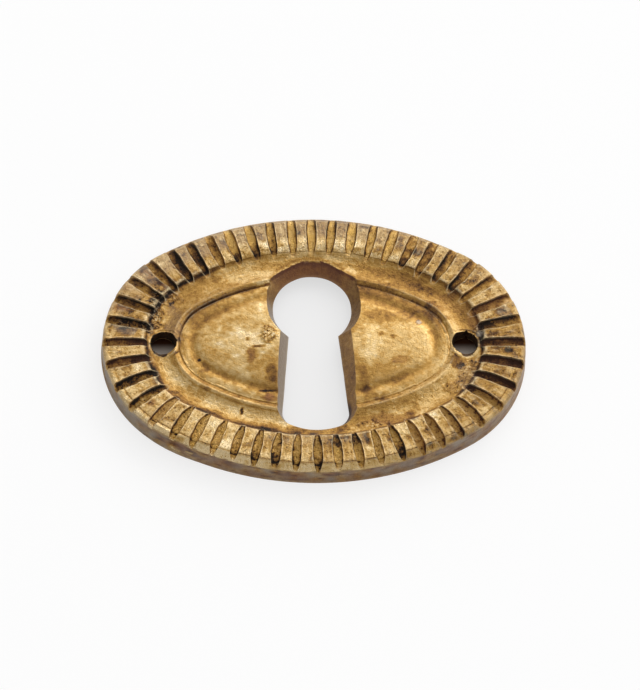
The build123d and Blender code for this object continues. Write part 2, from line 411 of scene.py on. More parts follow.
# Keyhole
# The keyhole is cast through the middle: a round head and a flared slot with a bowed end. Its walls
# lean outwards towards the face, the far one most, and years of keys have rounded the lip.
HEAD_RADIUS = 3.885
HEAD_CENTRE = 4.52
HEAD_SHIFT = -0.065
NECK_HALF = 2.16
SLOT_END = -8.25
SLOT_END_HALF = 3.35
SLOT_BOW = 1.05
SLOT_CORNER = 0.9
WALL_SLOPE = 0.51
FAR_WALL_SLOPE = 0.84
RIGHT_WALL_SLOPE = 0.09
LIP_DROP = 0.16
LIP_REACH = [0, 0.05, 0.14, 0.5]
KEYHOLE_WALL_ROWS = 6
WALL_FOOT = 0.02
cutters = []
for part_name in ("keyhole_head", "keyhole_slot"):
    cutter_mesh = bmesh.new()
    if part_name == "keyhole_head":
        bmesh.ops.create_circle(
            cutter_mesh, segments=128, radius=HEAD_RADIUS,
            matrix=Matrix.Translation((HEAD_SHIFT, HEAD_CENTRE, 0)),
        )
    else:
        corners = [(NECK_HALF, HEAD_CENTRE), (-NECK_HALF, HEAD_CENTRE)]
        corners += [(-SLOT_END_HALF, SLOT_END), (SLOT_END_HALF, SLOT_END)]
        slot_corners = [cutter_mesh.verts.new((x, y, 0)) for x, y in corners]
        cutter_mesh.faces.new(slot_corners)
        bmesh.ops.bevel(
            cutter_mesh, geom=slot_corners[2:], offset=SLOT_CORNER, segments=7, profile=0.5,
            affect="VERTICES", material=-1,
        )
        bmesh.ops.delete(cutter_mesh, geom=cutter_mesh.faces[:], context="FACES_ONLY")
        long_edges = [edge for edge in cutter_mesh.edges if edge.calc_length() > 1]
        bmesh.ops.subdivide_edges(cutter_mesh, edges=long_edges, cuts=36)
        for vert in cutter_mesh.verts:
            bow = 1 - (vert.co.x / SLOT_END_HALF) ** 2
            vert.co.y -= SLOT_BOW * bow * float(ease(SLOT_END + SLOT_CORNER, SLOT_END, vert.co.y))
    loop = cutter_mesh.edges[:]
    for _ in range(KEYHOLE_WALL_ROWS + 4):
        drawn = bmesh.ops.extrude_edge_only(cutter_mesh, edges=loop)["geom"]
        row_verts = [item for item in drawn if isinstance(item, bmesh.types.BMVert)]
        bmesh.ops.translate(cutter_mesh, vec=(0, 0, 1), verts=row_verts)
        loop = [item for item in drawn if isinstance(item, bmesh.types.BMEdge) and item.is_boundary]
    rims = [edge for edge in cutter_mesh.edges if edge.is_boundary]
    bmesh.ops.holes_fill(cutter_mesh, edges=rims, sides=0)
    bmesh.ops.recalc_face_normals(cutter_mesh, faces=cutter_mesh.faces)
    cutter_mesh.normal_update()
    # The rows start below the back, climb the sloping wall, round the lip and end above the dome
    outline = np.array([vert.co[:2] for vert in cutter_mesh.verts])
    outward = np.array([vert.normal[:2] for vert in cutter_mesh.verts])
    outward /= np.linalg.norm(outward, axis=1)[:, None]
    rows = np.array([round(vert.co.z) for vert in cutter_mesh.verts])
    slope = WALL_SLOPE + RIGHT_WALL_SLOPE * outward[:, 0] + FAR_WALL_SLOPE * np.maximum(outward[:, 1], 0)
    lip = face_height(outline + outward * (slope * 1.4)[:, None])
    lip_row = rows - KEYHOLE_WALL_ROWS - 1
    wall_share = np.clip((rows - 1) / KEYHOLE_WALL_ROWS, 0, 1)
    row_height = BACK_DEPTH + WALL_FOOT + wall_share * (lip - LIP_DROP - BACK_DEPTH - WALL_FOOT)
    row_height = np.select(
        [rows == 0, lip_row == 1, lip_row == 2, lip_row == 3],
        [BACK_DEPTH - 0.6, lip - 0.05, lip + 0.02, DOME_TOP + 1],
        row_height,
    )
    wall_reach = slope * np.clip(np.minimum(row_height, lip - LIP_DROP) - BACK_DEPTH, 0, None)
    row_reach = wall_reach + np.choose(np.clip(lip_row, 0, 3), LIP_REACH)
    row_reach += 0.03 * uneven(np.column_stack([outline, row_height]), 1.3, 6)
    for vert, (x, y), reach, height in zip(cutter_mesh.verts, outward, row_reach, row_height):
        vert.co.x += x * reach
        vert.co.y += y * reach
        vert.co.z = height
    if part_name == "keyhole_head":
        # The nail holes are cut in the same pass, ragged and each with a split in its lip
        for side in (-1, 1):
            tube = bmesh.ops.create_cone(
                cutter_mesh, cap_ends=True, segments=72, radius1=nail_radius, radius2=nail_radius, depth=5,
                matrix=Matrix.Translation((side * nail_place, 0, 2)),
            )["verts"]
            for vert in tube:
                around = atan2(vert.co.y, vert.co.x - side * nail_place)
                nick = radians(15) if side < 0 else radians(82)
                ragged_lip = 0.03 * noise.noise((2 * cos(around), 2 * sin(around), side)) - 0.01
                split = 0.2 * soft_line(around, nick, 0.09)
                vert.co.x += cos(around) * (ragged_lip + split)
                vert.co.y += sin(around) * (ragged_lip + split) + 0.2 * abs(sin(around))
            uprights = {edge for vert in tube for edge in vert.link_edges if edge.calc_length() > 4.9}
            bmesh.ops.subdivide_edges(cutter_mesh, edges=list(uprights), cuts=24)
    bmesh.ops.scale(cutter_mesh, vec=(MILLIMETRE, MILLIMETRE, MILLIMETRE), verts=cutter_mesh.verts)
    cutter_data = bpy.data.meshes.new(part_name)
    cutter_mesh.to_mesh(cutter_data)
    cutter_mesh.free()
    cutter = bpy.data.objects.new(part_name, cutter_data)
    bpy.context.scene.collection.objects.link(cutter)
    cut = plate.modifiers.new(part_name, "BOOLEAN")
    cut.object = cutter
    cut.operation = "DIFFERENCE"
    cut.solver = "EXACT"
    cutters.append(cutter)
shaped = plate.evaluated_get(bpy.context.evaluated_depsgraph_get())
plate.data = bpy.data.meshes.new_from_object(shaped)
plate.modifiers.clear()
for cutter in cutters:
    bpy.data.objects.remove(cutter)
plate_data = plate.data
plate_data.name = "escutcheon_plate"

# Painted shade, painted reflection and painted highlight go into the same values as the dirt, as marked
# below.
# Aged gilding
# The finish is worked out at each point of the casting: dirt gathers in the flutes, the step, the quirk and
# the hollows, the rubbed edges stay bright, and old stains and spots of corrosion are laid one by one.
# The shader breaks these up with noise and runs from pale gold through ochre and brown to black.
SHARP_ANGLE = radians(38)
plate_data.shade_smooth()
plate_data.set_sharp_from_angle(angle=SHARP_ANGLE)
count = len(plate_data.vertices)
points = np.empty(3 * count)
plate_data.vertices.foreach_get("co", points)
points = points.reshape(-1, 3) / MILLIMETRE
normals = np.empty(3 * count)
plate_data.vertices.foreach_get("normal", normals)
normals = normals.reshape(-1, 3)
links = np.empty(2 * len(plate_data.edges), dtype=int)
plate_data.edges.foreach_get("vertices", links)
links = links.reshape(-1, 2)


def swelling(rounds):
    """How far each point stands out of its surroundings, in millimetres."""
    degree = np.bincount(links.ravel(), minlength=count)[:, None]
    smooth = points.copy()
    for _ in range(rounds):
        total = np.zeros_like(smooth)
        np.add.at(total, links[:, 0], smooth[links[:, 1]])
        np.add.at(total, links[:, 1], smooth[links[:, 0]])
        smooth = total / degree
    return np.einsum("ij,ij->i", points - smooth, normals)


# Which part of the casting each point belongs to
x, y, z = points.T
unshrunk = points.copy()
unshrunk[:, 0] /= shrunk_share(oval_place(points)[3])
_, _, _, inset, place = oval_place(unshrunk)
facing_up = normals[:, 2] > 0.25
on_back = normals[:, 2] < -0.5
on_wall = ~facing_up & (inset < 0.3)
from_nail = np.hypot(np.abs(x) - nail_place, y)
in_nail_hole = (from_nail < nail_radius + 0.36) & (np.abs(normals[:, 2]) < 0.6)
in_nail_hole |= (from_nail < nail_radius + 0.12) & (z < 2.15)
sunk = face_height(unshrunk) - z
head_x, head_y = x - HEAD_SHIFT, y - HEAD_CENTRE
from_head = np.hypot(head_x, head_y)
lip_slope = WALL_SLOPE + FAR_WALL_SLOPE * np.maximum(head_y, 0) / np.maximum(from_head, 1)
past_lip = from_head - HEAD_RADIUS - 1.1 * lip_slope
faces_hole = -(normals[:, 0] * head_x + normals[:, 1] * head_y) / np.maximum(from_head, 1)
far_lip = (past_lip < 0.35) & (faces_hole > 0.38) & (head_y > 1.5)
on_keyhole_wall = ~on_wall & ~on_back & (inset > 4.2) & (np.abs(x) < 8) & ((sunk > 0.13) | far_lip)

# Where on the plate it lies: near or far side, middle or ends, left, and which strip of the section
outwards = np.abs(x)
near = ease(2, -10, y)
far = ease(-1, 5, y)
left = ease(2, -4, x)
near_left = near * left
far_left = far * soft_line(x, -13, 4)
middle = 1 - ease(3, 8, outwards)
ends = ease(11, 17, outwards)
land = inset < 4.0
land_share = 1 - ease(3.6, 4.4, inset)
outer_land = 1 - ease(2.2, 2.9, inset)
on_bevel = ease(0.72, 0.55, inset)
in_middle = inset > DOME_FOOT
beyond_head = ease(2.2, 4.0, head_y)
slot_lip = ease(2.0, 3.0, x) * ease(5.4, 4.7, x) * ease(2.5, 1.0, y) * (inset > 5)

# Flutes by number, from the right end round by the far side, and the dirt in each: some kept their
# gilding, some are brown, and some are choked with black dirt at one end or all along
PLAIN_FLUTE_DIRT = 0.04
FLUTE_DIRT = [
    ((18, 19, 46), 0.4),
    ((0, 26), 0.26),
    ((1, 20, 22, 23, 27), 0.2),
    ((2, 4, 17, 21, 24, 25), 0.12),
    (range(28, 34), -0.1),
    (range(34, 40), -0.05),
    (range(41, 46), -0.12),
    (range(8, 17), -0.04),
    (range(10, 14), -0.12),
    ((47,), 0.55),
    (range(5, 8), 0.15),
]
INNER_DARK_FLUTES = (4, 7, 14, 15, 16, 24, 25, 37, 38, 45)
OUTER_DARK_FLUTES = (32, 33, 34, 35, 36, 40)
ORANGE_FLUTES = (0, 2, 24, 25, 28, 41, 42, 43, 44, 45, 46, 47)
GILT_FLUTES = (*range(8, 17), *range(28, 46))
flute_dirt = np.full(FLUTE_COUNT, PLAIN_FLUTE_DIRT)
for flutes, amount in FLUTE_DIRT:
    flute_dirt[list(flutes)] = amount
near_flute = np.round(place).astype(int) % FLUTE_COUNT
below = worn_border(unshrunk, inset) - z
drop = np.clip((below - 0.08) / 0.25, 0, 1) * (inset > 0.02) * (inset < 4.45)
flute_dirt_and_shade = flute_dirt[near_flute] + 0.35 * np.isin(near_flute, INNER_DARK_FLUTES) * ease(2.2, 3.4, inset)
flute_dirt_and_shade += 0.4 * np.isin(near_flute, OUTER_DARK_FLUTES) * ease(2.2, 1.2, inset)
flute_dirt_and_shade += (0.3 + 0.2 * near * middle) * uneven(points, 0.6, 16)
# At the two ends the far side of each flute is painted darker as shade
shaded_flute_side = np.clip((place - np.round(place)) * np.sign(x) / 0.2, -1, 1)
flute_dirt_and_shade += 0.16 * shaded_flute_side * ease(9, 14, outwards)
# The steep sides of the flutes: dirt and painted shade, darkest on the sides that face the near side
steep = np.clip((0.9 - normals[:, 2]) / 0.25, 0, 1) * (inset > 0.25) * (inset < 4.0)
steep *= np.clip((below - 0.06) / 0.08, 0, 1)
side_dirt_and_shade = 0.3 + far * (0.42 - 0.6 * ease(5, 10, outwards)) + 0.12 * near
side_dirt_and_shade += 0.3 * flute_dirt[near_flute] + 0.16 * ease(-0.1, -0.6, normals[:, 1])

# The face as a whole, the land and its mottling
land_edge_dirt = 0.14 - 0.05 * ease(4, 12, x)
land_dirt = land_share * (land_edge_dirt * outer_land * (1 - 0.6 * near) - 0.04 + 0.06 * ends + 0.04 * near)
land_dirt -= land_share * (0.16 * (1 - outer_land) * far * middle + 0.08 * near_left)
land_dirt += land_share * 0.08 * (1 - outer_land) * near * middle
patchy = 0.16 - 0.09 * ease(3, 6, x) * ~land
dirt_and_shade = 0.34 + 0.18 * uneven(points, 4.5, 7) + patchy * uneven(points, 1.6, 8)
dirt_and_shade += (1 - drop) * land_dirt + drop * flute_dirt_and_shade + steep * side_dirt_and_shade
mottle = 0.1 * uneven(points, 0.9, 23) + 0.3 * ease(0.28, 0.5, uneven(points, 0.75, 24))
dirt_and_shade += land_share * (1 - drop) * (mottle + 0.02 * near)
dirt_and_shade += 0.08 * np.clip(-swelling(24) / 0.06, 0, 1) * land

# Bevel with the scratched line above it
dirt_and_shade += near * 0.4 * soft_line(inset, CREASE, 0.06)
dirt_and_shade += near * (0.14 * ease(4, 9, x) - 0.25 * (1 - 0.8 * ease(5, 10, x))) * on_bevel

# Step and cove
dirt_and_shade += (0.18 - 0.16 * far * middle + 0.3 * far_left + 0.1 * ends) * soft_line(inset, 4.08, 0.2)
dirt_and_shade += 0.4 * near_left * soft_line(inset, 4.3, 0.4)
dirt_and_shade += 0.28 * far * ease(2, 9, x) * soft_line(inset, 5.2, 0.9)
dirt_and_shade -= 0.1 * near_left * soft_line(inset, 5.7, 0.5)

# Bead and quirk
dirt_and_shade += 0.32 * near_left * soft_line(inset, 6.48, 0.07)
dirt_and_shade += 0.12 * far * soft_line(inset, 6.9, 0.3)
dirt_and_shade += 0.26 * near_left * soft_line(inset, 7.02, 0.16)
dirt_and_shade += 0.34 * near_left * soft_line(inset, 7.28, 0.07)
# On the far side the quirk is painted darker and wider as shade, where its slope faces the near side
dirt_and_shade += (0.08 + 0.2 * far + 0.2 * far * left) * soft_line(inset, QUIRK, 0.1 + 0.14 * far)

# Dome and the valley round it
# Along the far side the foot of the dome is painted darker as shade under the bead
dirt_and_shade += 0.2 * far * (1 - 0.5 * left) * soft_line(inset, 7.9, 0.5)
dirt_and_shade += (0.14 + 0.08 * left * (1 - 0.6 * near)) * soft_line(inset, VALLEY_INSET, 0.4)
dirt_and_shade += 0.06 * ease(0.5, 3.5, y) * in_middle + 0.14 * slot_lip
smudge = 0.12 * uneven(points, 0.7, 26) + 0.1 * uneven(points, 0.35, 27)
dirt_and_shade += (0.35 + 0.65 * left) * smudge * in_middle
dirt_and_shade += 0.24 * beyond_head * soft_line(past_lip, 0.1, 0.16)

# Outer wall: blotched all over, and blackened in places by painted shade under the near bevel
wall_dirt_and_shade = 0.4 + 0.2 * uneven(points, 2.5, 9) + 0.12 * uneven(points * (1, 1, 3), 0.9, 22)
wall_dirt_and_shade += 0.4 * ease(0.12, 0.4, uneven(points * (0.5, 0.5, 1.6), 0.6, 25))
wall_dirt_and_shade += 0.14 * uneven(points, 0.45, 31)
shade_under_bevel = 0.45 * soft_line(x, 10, 3.5) + 0.35 * soft_line(x, -14, 3.5)
shade_under_bevel *= np.clip(0.6 + 1.2 * uneven(points * (0.6, 0.6, 1), 0.7, 32), 0, 1.3)
wall_dirt_and_shade += shade_under_bevel * near * ease(0.5, 1.5, z)
dirt_and_shade = np.where(on_wall, wall_dirt_and_shade, dirt_and_shade)

# Keyhole walls, with painted light and shade by the way each faces: pale on the left one, brown on the right
# one, darkest on the far one
facing_right = ease(0.2, 0.7, normals[:, 0]) * ease(6.0, 3.5, y)
facing_near = ease(-0.2, -0.7, normals[:, 1])
facing_left = ease(-0.2, -0.7, normals[:, 0])
keyhole_dirt_and_shade = 0.6 - 0.34 * facing_right - 0.02 * facing_left + 0.14 * facing_near
keyhole_dirt_and_shade += 0.1 * uneven(points, 1.8, 10)
# Below its lip the far wall is darker, and at its foot lighter as painted reflection of the pale floor
keyhole_dirt_and_shade += facing_near * (0.25 * ease(0.4, 0.15, sunk) - 0.2 * ease(1.35, 1.12, z))
# A painted shadow blackens the foot of the right slot wall towards the slot's end, where the hollow back lies
# in shade
keyhole_dirt_and_shade += 0.6 * facing_left * ease(1.6, 1.3, z) * ease(-5.5, -7.5, y)
keyhole_dirt_and_shade += 0.3 * facing_right * ease(0.35, 0.15, sunk)
dirt_and_shade = np.where(on_keyhole_wall, keyhole_dirt_and_shade, dirt_and_shade)

# Back, nail holes and the half-worn lips round these
BACK_DIRT = 0.55
NAIL_HOLE_SHADE = 0.92
dirt_and_shade = np.where(on_back, BACK_DIRT + 0.2 * uneven(points, 3, 12), dirt_and_shade)
# The walls of the nail holes are painted near black as shade
dirt_and_shade = np.where(in_nail_hole, NAIL_HOLE_SHADE, dirt_and_shade)
lip_wear = np.clip(0.3 + 0.9 * uneven(points, 0.9, 28), 0, 1) * ease(17.0, 15.6, x) * facing_up
nail_lip = lip_wear * soft_line(from_nail - nail_radius, 0.13, 0.08)
dirt_and_shade += 0.5 * lip_wear * soft_line(from_nail - nail_radius, 0.4, 0.07) - 0.15 * nail_lip

# Bright wear on the edges that stand out, least beyond the keyhole and along its slot
wear = np.clip(swelling(2) / 0.016, 0, 1) ** 2
wear *= (0.4 + 0.6 * ease(0.9, 1.3, inset)) * (1 - 0.65 * ease(4.2, 4.6, inset))
wear *= 1 - 0.8 * far * (1 - ease(6, 11, outwards)) * ease(2.6, 3.4, inset)
wear *= 1 - 0.7 * slot_lip
wear = np.maximum(wear, 0.7 * nail_lip)

# Grey film, red tarnish and kept gilding; on the keyhole walls the grey is mostly painted reflection
grey = (0.3 - 0.2 * ease(4, 12, x)) * land * outer_land * ease(3, 9, y) * (1 - drop)
# Painted reflection of the pale floor on the keyhole wall that faces right and at the foot of the far wall
keyhole_grey_reflection = 0.15 * (1 - facing_near) + 0.7 * facing_right + 0.3 * facing_near * ease(1.35, 1.12, z)
grey = np.where(on_keyhole_wall, keyhole_grey_reflection, grey)
wall_grey = 0.42 + 0.5 * ease(-14, -19, x) + 0.25 * ease(3, 10, x) + 0.6 * uneven(points, 0.9, 29)
grey = np.where(on_wall, wall_grey, grey)
red = 0.2 * drop * np.isin(near_flute, ORANGE_FLUTES)
red = np.where(on_keyhole_wall, 0.45 * facing_near + 0.1, red)
wall_red = 0.25 - 0.2 * ease(-14, -19, x) + 0.35 * uneven(points, 1.5, 17) + 0.3 * ease(0.5, 0.1, z)
red = np.where(on_wall, wall_red, red)
gilt = drop * np.isin(near_flute, GILT_FLUTES) * np.clip(0.65 + 0.5 * uneven(points, 0.7, 30), 0, 1)
gilt = np.maximum(gilt, 0.2 * near * on_bevel)
gilt[on_wall | on_back | on_keyhole_wall | in_nail_hole] = 0

# Lighter patches, listed: middle x and y, half-lengths along x and y, and the change in darkening
LIGHTER_PATCHES = [
    # This patch and the one at x 5.2 lie on the two lobes of the dome and are painted highlight
    (-7.0, 0.0, 3.4, 2.0, -0.24),
    (-17.6, 7.2, 0.9, 0.8, -0.2),
    (-4.8, 6.9, 1.0, 0.6, -0.28),
    (3.7, 8.3, 0.8, 0.6, -0.25),
    (14.6, -6.5, 1.0, 0.8, -0.15),
    (5.2, -0.2, 1.8, 2.0, -0.18),
    (11.6, -8.8, 0.9, 0.8, -0.15),
    (15.5, -8.5, 2.5, 1.5, -0.18),
    (17.6, 7.2, 1.6, 2.2, -0.16),
    (-20.0, 3.8, 1.0, 4.0, -0.18),
    (-18.2, -6.3, 1.2, 2.0, -0.16),
    (-19.0, -2.5, 2.2, 3.6, -0.2),
    (-17.6, 6.6, 1.2, 1.0, -0.26),
]
# Darker patches, listed: middle, half-lengths and the darkening added
DARKER_PATCHES = [
    (9.8, 10.3, 0.9, 0.7, 0.3),
    (14.0, 6.4, 1.0, 1.4, 0.24),
    (18.0, -1.1, 1.6, 0.4, 0.25),
    (-11.0, -7.7, 1.6, 0.5, 0.2),
    (4.9, -4.6, 0.6, 1.4, 0.1),
    (-15.5, 6.8, 0.8, 0.8, 0.28),
    (7.5, 3.0, 3.0, 0.9, 0.16),
    (12.0, 3.6, 1.2, 1.4, 0.2),
    (16.8, -2.0, 1.8, 0.7, 0.22),
    (-10.5, 7.7, 1.6, 0.7, 0.18),
    (-4.8, 9.0, 1.8, 0.6, 0.16),
    (-15.6, -3.8, 1.0, 1.4, 0.12),
    (12.2, 0.4, 1.0, 2.4, 0.14),
    (11.0, 4.8, 1.4, 0.8, 0.12),
    (9.5, 10.6, 3.0, 0.8, 0.22),
    (9.0, 6.6, 3.0, 0.6, 0.12),
    (-5.5, 10.3, 2.5, 0.8, 0.18),
    (-12.0, 6.5, 4.0, 1.5, 0.12),
    (-12.4, -5.7, 2.2, 1.0, 0.24),
    (6.4, -3.6, 3.0, 1.6, 0.12),
    (-10.8, -3.6, 0.8, 1.6, 0.16),
    (11.2, 6.0, 1.8, 0.6, 0.1),
    (-4.5, -9.6, 1.6, 0.6, 0.2),
    (6.5, -7.0, 1.4, 0.8, 0.2),
    (9.0, -8.2, 1.2, 0.8, 0.15),
    (17.5, -3.5, 1.8, 1.2, 0.16),
    (-15.6, 0.9, 0.8, 0.8, 0.25),
    (-15.6, 5.4, 0.9, 1.0, 0.22),
    (5.6, -6.4, 1.0, 0.8, 0.18),
    (9.0, -7.4, 1.4, 0.8, 0.18),
    (9.2, 4.2, 2.4, 0.7, 0.06),
    (8.0, -6.2, 2.6, 0.7, 0.14),
    (0, -9.8, 3.6, 0.6, 0.26),
    (16.5, 0.1, 0.45, 1.3, 0.45),
    (13.9, -2.0, 0.8, 0.8, 0.45),
    (-16.0, -2.5, 0.9, 3.4, 0.18),
    (-5.5, -0.6, 0.75, 0.2, 0.5),
    (-4.4, -3.5, 0.6, 1.3, 0.3),
    (-4.8, -5.45, 0.9, 0.16, 0.45),
    (-6.67, 0.28, 0.22, 0.2, 0.5),
    (-11.4, -1.9, 0.2, 0.2, 0.5),
    (-7.34, -7.68, 0.16, 0.35, 0.9),
    (6.58, 0.88, 0.24, 0.24, 0.4),
    (7.85, 0.66, 0.2, 0.22, 0.4),
    (5.1, -5.4, 0.8, 0.5, 0.16),
    (10.7, 3.6, 1.9, 1.0, 0.1),
    (17.5, 1.2, 1.4, 0.5, 0.1),
]
# Coloured stains, listed: middle, half-lengths and the dirt, grey and red added
COLOURED_STAINS = [
    (-13.8, 2.2, 0.9, 2.4, 0.16, 0.15, 0),
    (7.7, -8.6, 2.6, 0.9, 0.24, 0, 0.1),
    (0, -11.2, 5.0, 0.8, 0.1, 0.15, 0),
    (-6.3, -1.4, 0.55, 0.9, 0.42, 0, 0.2),
    (-4.5, -6.2, 0.6, 0.5, 0.25, 0, 0.4),
    (10.4, 2.38, 0.3, 0.3, 0, 0.7, 0),
    (15.0, -4.2, 1.4, 1.8, 0.05, 0.1, 0),
    (8.5, -2.05, 0.9, 0.5, 0.15, 0, 0.15),
    (-19.3, 4.2, 1.5, 0.9, 0.06, 0, 0.35),
    (-18.6, 1.5, 1.3, 0.7, 0.35, 0.25, 0),
    (-18.2, 6.6, 1.2, 0.9, 0.02, 0.2, 0.2),
    (-16.2, 8.2, 1.0, 1.0, 0.05, 0.1, 0.2),
    (-14.6, 7.0, 1.0, 0.8, 0.3, 0, 0.2),
    (-12.6, 8.6, 0.9, 0.7, 0.2, 0, 0.1),
    (15.9, 2.6, 0.9, 1.2, 0.04, 0, 0.2),
    (13.6, 4.6, 2.4, 1.4, 0.02, 0, 0.1),
    (19.0, 3.4, 0.9, 0.6, 0.12, 0.2, 0),
    (-16.1, -7.0, 0.5, 0.5, 0.35, 0, 0.2),
    (16.3, 1.1, 0.4, 0.3, 0, 0.8, 0),
]
# Crusts of old corrosion, rough and speckled: middle, half-lengths and strength
CRUSTS = [
    (-4.5, 0.75, 0.7, 0.95, 1.0),
    (-15.6, 3.4, 0.9, 1.7, 1.0),
    (-16.4, 1.9, 0.8, 0.6, 0.8),
    (-14.4, 5.3, 1.5, 0.8, 0.5),
    (15.2, -3.2, 1.0, 1.2, 0.45),
    (14.2, -5.0, 1.5, 0.8, 0.4),
    (16.2, 1.5, 0.7, 0.6, 0.8),
    (5.4, -9.2, 1.6, 0.5, 0.5),
    (-18.9, 2.2, 1.2, 0.7, 0.6),
    (-19.2, 5.2, 1.2, 0.8, 0.2),
    (-17.6, 7.2, 1.2, 0.8, 0.2),
]
ragged = 0.45 * uneven(points, 0.8, 13) + 0.3 * uneven(points, 0.35, 14)


def ragged_distance(middle_x, middle_y, reach_x, reach_y):
    """Distance from the middle of a ragged oval patch; it is about 1 at the patch's edge."""
    return np.hypot((x - middle_x) / reach_x, (y - middle_y) / reach_y) + ragged


for *oval, more_darkening in LIGHTER_PATCHES + DARKER_PATCHES:
    inside = 1 - ease(0.6, 1.15, ragged_distance(*oval))
    dirt_and_shade += more_darkening * inside * facing_up * (1 - 0.8 * drop)
for *oval, more_darkening, more_grey, more_red in COLOURED_STAINS:
    away = ragged_distance(*oval)
    inside = (1 - ease(0.6, 1.15, away)) * facing_up * (1 - 0.8 * drop)
    dirt_and_shade += more_darkening * inside + 0.5 * more_grey * soft_line(away, 0.9, 0.16) * facing_up
    grey = np.maximum(grey, more_grey * inside)
    red = np.maximum(red, more_red * inside)
crust = np.zeros(count)
for *oval, strength in CRUSTS:
    away = ragged_distance(*oval)
    crust = np.maximum(crust, strength * (1 - ease(0.6, 1.1, away)) * facing_up)
    dirt_and_shade += 0.25 * strength * soft_line(away, 0.9, 0.18) * facing_up
for values in (wear, grey, red):
    values[in_nail_hole & (sunk > 0.08)] = 0

# How gritty the metal is: roughest on the land and in its flutes, smoothest on the dome
grit = np.where(land, 1.35 + 0.35 * drop * (1 - 1.6 * far), np.where(inset < DOME_FOOT, 0.7, 0.35))
grit = np.where(on_wall, 0.8, grit + 0.8 * crust)
grit = np.where(on_keyhole_wall, 0.4, grit)
grit = np.where(in_nail_hole, 0.1, grit)
layers = {"gilt": gilt, "dirt_and_shade": dirt_and_shade, "wear": wear, "grey": grey, "red": red, "grit": grit, "crust": crust}
for name, values in layers.items():
    layer = plate_data.attributes.new(name, "FLOAT", "POINT")
    layer.data.foreach_set("value", values.astype(np.float32))

# Brush marks run across the land and round the oval elsewhere, and fade to mottling on the walls
around = place * flute_step
along_brush = np.where(land, around, 0.12 * around)
across_brush = np.where(land, 0.18 * inset, inset)
brush = np.column_stack([along_brush, across_brush, np.zeros(count)])
brush[on_wall] = np.column_stack([0.7 * around, 1.2 * z, np.zeros(count)])[on_wall]
brush[on_keyhole_wall] = np.column_stack([0.6 * x, 0.6 * y, 0.8 * z])[on_keyhole_wall]
layer = plate_data.attributes.new("brush", "FLOAT_VECTOR", "POINT")
layer.data.foreach_set("vector", brush.astype(np.float32).ravel())

KEPT_GILT = (0.58, 0.35, 0.09, 1)
GREY_FILM_AND_REFLECTION = (0.4, 0.34, 0.275, 1)
PALE_SPECKS = (0.5, 0.46, 0.36, 1)
RED_TARNISH = (0.26, 0.1, 0.06, 1)
RUBBED_GOLD = (1.0, 0.8, 0.47, 1)
# Tones of the gilding from the cleanest to the dirtiest, which also give the painted shade
TONES = [
    (0.0, (0.87, 0.7, 0.44)),
    (0.22, (0.66, 0.455, 0.195)),
    (0.45, (0.45, 0.252, 0.064)),
    (0.62, (0.29, 0.148, 0.037)),
    (0.8, (0.13, 0.06, 0.022)),
    (1.0, (0.022, 0.016, 0.012)),
]
finish = bpy.data.materials.new("aged_gilt_brass")
finish.use_nodes = True
nodes, joins = finish.node_tree.nodes, finish.node_tree.links
shader = nodes["Principled BSDF"]
places = nodes.new("ShaderNodeTexCoord")


def grain(scale, detail, coordinates=places.outputs["Object"]):
    """Noise on the casting's own coordinates."""
    node = nodes.new("ShaderNodeTexNoise")
    node.inputs["Scale"].default_value = scale
    node.inputs["Detail"].default_value = detail
    node.inputs["Roughness"].default_value = 0.65
    joins.new(coordinates, node.inputs["Vector"])
    return node.outputs["Fac"]


def join(value, socket, tree):
    """Lead a socket into another, or set a plain value there."""
    if isinstance(value, bpy.types.NodeSocket):
        tree.links.new(value, socket)
    else:
        socket.default_value = value


def worked(kind, *values, node_type="ShaderNodeMath", output="Value", tree=finish.node_tree):
    """A maths node on sockets or plain values."""
    node = tree.nodes.new(node_type)
    node.operation = kind
    for socket, value in zip(node.inputs, values):
        join(value, socket, tree)
    return node.outputs[output]


def smooth_range(value, start, end, low=0, high=1, tree=finish.node_tree):
    """A smooth step of a socket's value, from low at start to high at end."""
    node = tree.nodes.new("ShaderNodeMapRange")
    node.interpolation_type = "SMOOTHSTEP"
    for name, number in (("From Min", start), ("From Max", end), ("To Min", low), ("To Max", high)):
        node.inputs[name].default_value = number
    tree.links.new(value, node.inputs["Value"])
    return node.outputs["Result"]


def attribute(name, output="Fac"):
    """One of the values worked out above."""
    node = nodes.new("ShaderNodeAttribute")
    node.attribute_name = name
    return node.outputs[output]


def blend(amount, colour, over, tree=finish.node_tree):
    """Lay a colour over another by an amount."""
    node = tree.nodes.new("ShaderNodeMix")
    node.data_type = "RGBA"
    node.clamp_factor = True
    join(amount, node.inputs["Factor"], tree)
    join(over, node.inputs["A"], tree)
    join(colour, node.inputs["B"], tree)
    return node.outputs["Result"]


# Noise breaks up the dirt and painted shade: fine grain, specks, brush streaks, pits, and lumps where it is
# thick
fine_grain = grain(2400, 6)
speckle = grain(6500, 4)
broken = worked("MULTIPLY_ADD", worked("SUBTRACT", fine_grain, 0.5), 0.6, attribute("dirt_and_shade"))
gritty = attribute("grit")
broken = worked("MULTIPLY_ADD", worked("MULTIPLY", worked("SUBTRACT", speckle, 0.5), 0.48), gritty, broken)
streaks = grain(4, 3, attribute("brush", "Vector"))
streaky = worked("MULTIPLY", worked("MINIMUM", gritty, 1.0), 0.5)
broken = worked("MULTIPLY_ADD", worked("SUBTRACT", streaks, 0.5), streaky, broken)
pits = smooth_range(grain(3600, 2), 0.58, 0.68)
broken = worked("MULTIPLY_ADD", worked("MULTIPLY", pits, 0.18), gritty, broken)
crusted = attribute("crust")
lumps = grain(3600, 5)
lumpy = worked("MAXIMUM", worked("SUBTRACT", gritty, 1.3), 0.0)
broken = worked("MULTIPLY_ADD", worked("MULTIPLY_ADD", lumps, 1.6, -0.85), lumpy, broken)
broken = worked("MULTIPLY_ADD", worked("MULTIPLY_ADD", lumps, 2.6, -1.05), crusted, broken)
